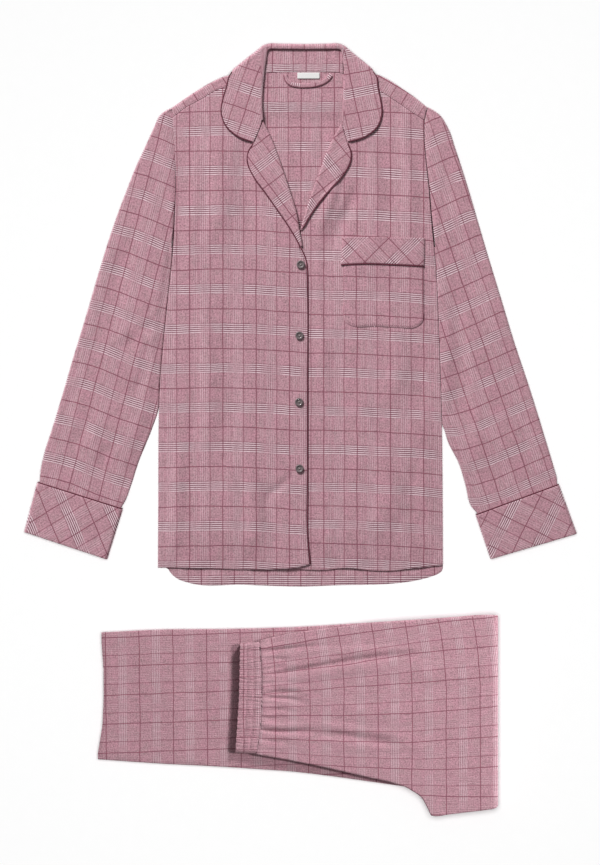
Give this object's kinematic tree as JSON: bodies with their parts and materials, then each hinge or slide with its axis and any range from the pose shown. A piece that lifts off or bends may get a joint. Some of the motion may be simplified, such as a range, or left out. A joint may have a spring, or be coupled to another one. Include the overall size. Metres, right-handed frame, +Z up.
{
  "type": "pyjama set",
  "caption": "Long-sleeved notched-collar flannel pyjama shirt laid flat, with its trousers folded below it.",
  "frame": {"origin": "middle of the underside of the whole laid-out set, on the surface it lies on", "axes": "+Y from the trousers up to the collar, +X towards the wearer's left, +Z up out of the surface"},
  "size_m": [0.7732, 1.078, 0.0177],
  "materials": {
    "flannel": "brushed cotton flannel in dusty rose with a glen check in burgundy and white",
    "flannel_bias": "the same flannel cut on the bias",
    "trouser_flannel": "the same brushed flannel, with its checks turned along the leg",
    "piping": "dark burgundy satin-covered cord",
    "button": "grey-brown moulded button with a raised rim",
    "label": "blank white woven tape"
  },
  "bodies": {
    "root": {"back": "flannel", "front_right": "flannel", "front_left": "flannel", "lapel_right": "flannel", "lapel_left": "flannel", "collar": "flannel", "collar_stand": "flannel", "sleeve_right": "flannel", "sleeve_left": "flannel", "pocket": "flannel", "hanger_loop": "flannel", "cuff_right": "flannel_bias", "cuff_left": "flannel_bias", "pocket_band": "flannel_bias", "piping_front_right": "piping", "piping_lapel_left": "piping", "piping_collar": "piping", "piping_cuff_right": "piping", "piping_cuff_left": "piping", "piping_pocket": "piping", "button_1": "button", "button_2": "button", "button_3": "button", "button_4": "button", "neck_label": "label", "leg_left": "trouser_flannel", "leg_right": "trouser_flannel", "waistband": "trouser_flannel"}
  },
  "joints": []
}
